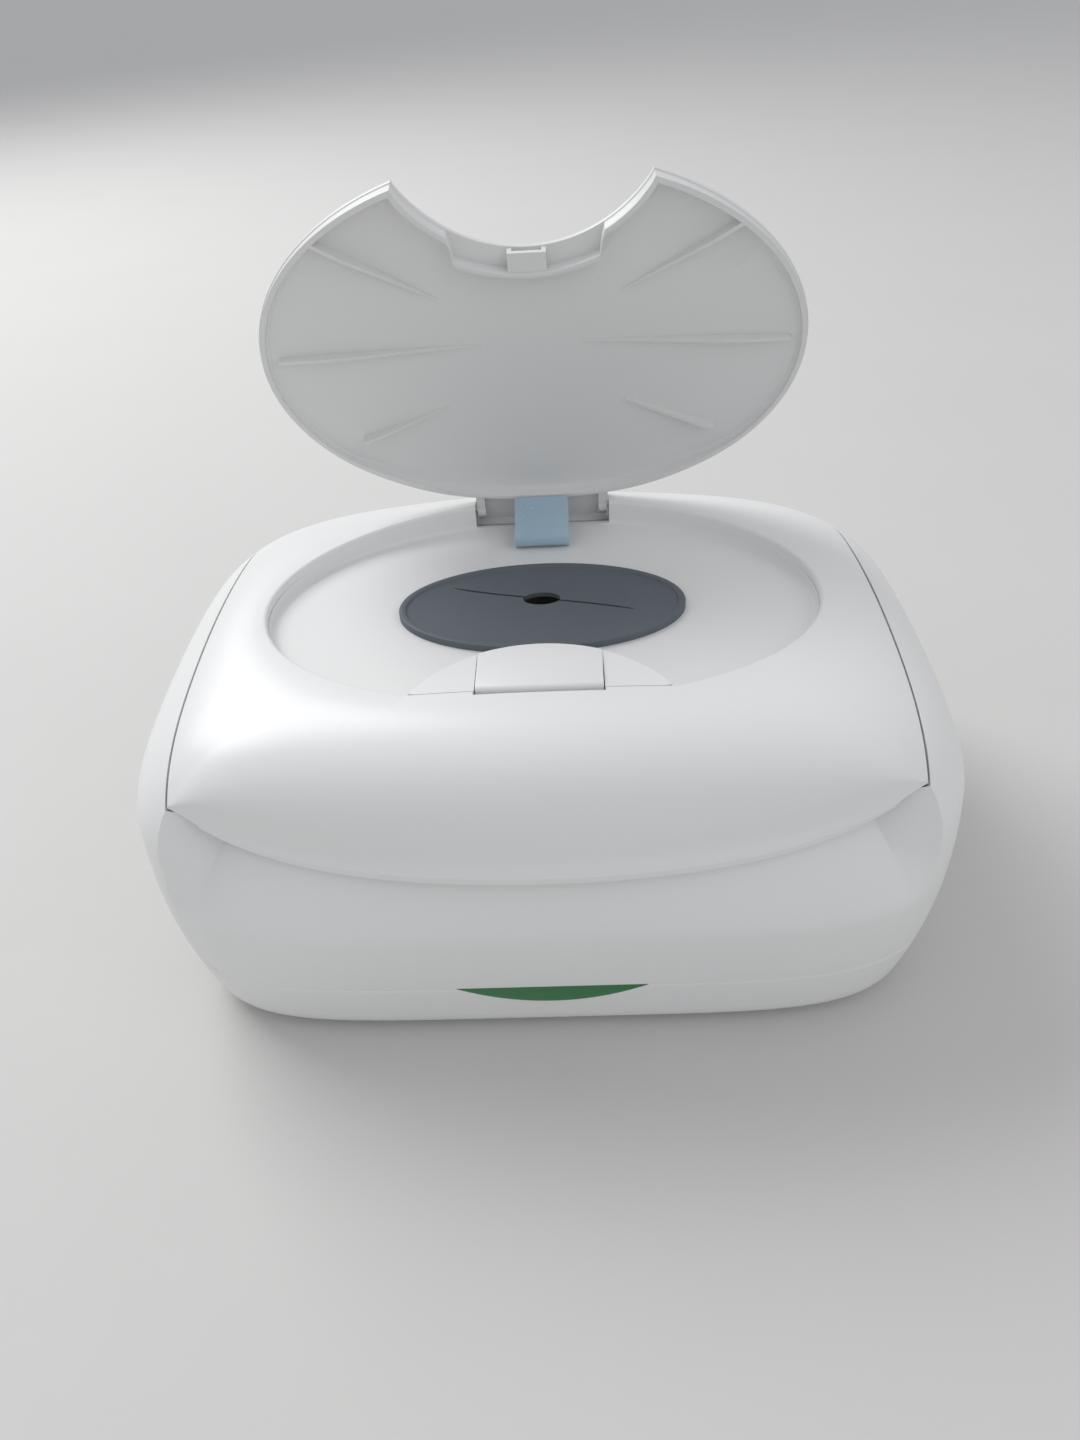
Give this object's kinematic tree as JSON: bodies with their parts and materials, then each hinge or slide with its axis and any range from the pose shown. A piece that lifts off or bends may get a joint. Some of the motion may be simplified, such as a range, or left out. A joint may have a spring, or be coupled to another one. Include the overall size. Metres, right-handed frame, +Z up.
{
  "type": "baby wipe warmer",
  "caption": "Heated wipes box with a hinged lid, a latched flip-up dispenser lid held open by a soft strap, a slit rubber seal, a lit front window and a rear power socket.",
  "frame": {"origin": "middle of the underside, on the plane of the rubber feet", "axes": "+X to the right seen from the front, +Y from the lip at the front to the hinge at the back, +Z up out of the lid"},
  "size_m": [0.248, 0.1817, 0.2147],
  "materials": {
    "base_pan": "satin",
    "housing": "satin",
    "wipes_tub": "satin",
    "moisture_pad": "matte",
    "heater_plate": "satin",
    "heater_element": "satin",
    "insulation_pad": "matte",
    "heater_clamp": "satin",
    "thermostat": "matte",
    "thermal_fuse": "matte",
    "circuit_board": "satin",
    "indicator_led": "clear",
    "indicator_lens": "gloss",
    "power_inlet": "matte",
    "inlet_contacts": "satin",
    "base_screws": "satin",
    "clamp_screws": "satin",
    "tub_screws": "satin",
    "rubber_feet": "matte",
    "lid_hinge_pins": "satin",
    "lid_cover": "satin",
    "lid_liner": "satin",
    "lid_gasket": "matte",
    "dispenser_seal": "matte",
    "seal_retainer": "satin",
    "latch_bezel": "satin",
    "liner_screws": "satin",
    "flip_hinge_pins": "satin",
    "latch_pin": "satin",
    "latch_spring": "satin",
    "pop_strap": "satin, translucent",
    "flip_lid": "satin",
    "latch_button": "satin"
  },
  "bodies": {
    "base": {"base_pan": "base_pan", "housing": "housing", "wipes_tub": "wipes_tub", "moisture_pad": "moisture_pad", "heater_plate": "heater_plate", "heater_element": "heater_element", "insulation_pad": "insulation_pad", "heater_clamp": "heater_clamp", "thermostat": "thermostat", "thermal_fuse": "thermal_fuse", "circuit_board": "circuit_board", "indicator_led": "indicator_led", "indicator_lens": "indicator_lens", "power_inlet": "power_inlet", "inlet_contacts": "inlet_contacts", "base_screws": "base_screws", "clamp_screws": "clamp_screws", "tub_screws": "tub_screws", "rubber_feet": "rubber_feet", "lid_hinge_pins": "lid_hinge_pins"},
    "lid": {"lid_cover": "lid_cover", "lid_liner": "lid_liner", "lid_gasket": "lid_gasket", "dispenser_seal": "dispenser_seal", "seal_retainer": "seal_retainer", "latch_bezel": "latch_bezel", "liner_screws": "liner_screws", "flip_hinge_pins": "flip_hinge_pins", "latch_pin": "latch_pin", "latch_spring": "latch_spring", "pop_strap": "pop_strap"},
    "flip_lid": {"flip_lid": "flip_lid"},
    "latch_button": {"latch_button": "latch_button"}
  },
  "joints": [
    {"name": "lid_hinge", "type": "hinge", "parent": "base", "child": "lid", "pos_m": [0, 0.081, 0.085], "axis": [-1, 0, 0], "range_deg": [0, 90]},
    {"name": "flip_hinge", "type": "hinge", "parent": "lid", "child": "flip_lid", "pos_m": [0, 0.067, 0.1005], "axis": [-1, 0, 0], "range_deg": [-77, 0], "stiffness_Nm_per_rad": 0.05, "springref_deg": 34.38, "deforming": ["pop_strap"]},
    {"name": "button_pivot", "type": "hinge", "parent": "lid", "child": "latch_button", "pos_m": [0, -0.0352, 0.092], "axis": [1, 0, 0], "range_deg": [0, 7], "stiffness_Nm_per_rad": 0.2, "springref_deg": -8.59, "deforming": ["latch_spring"]}
  ]
}
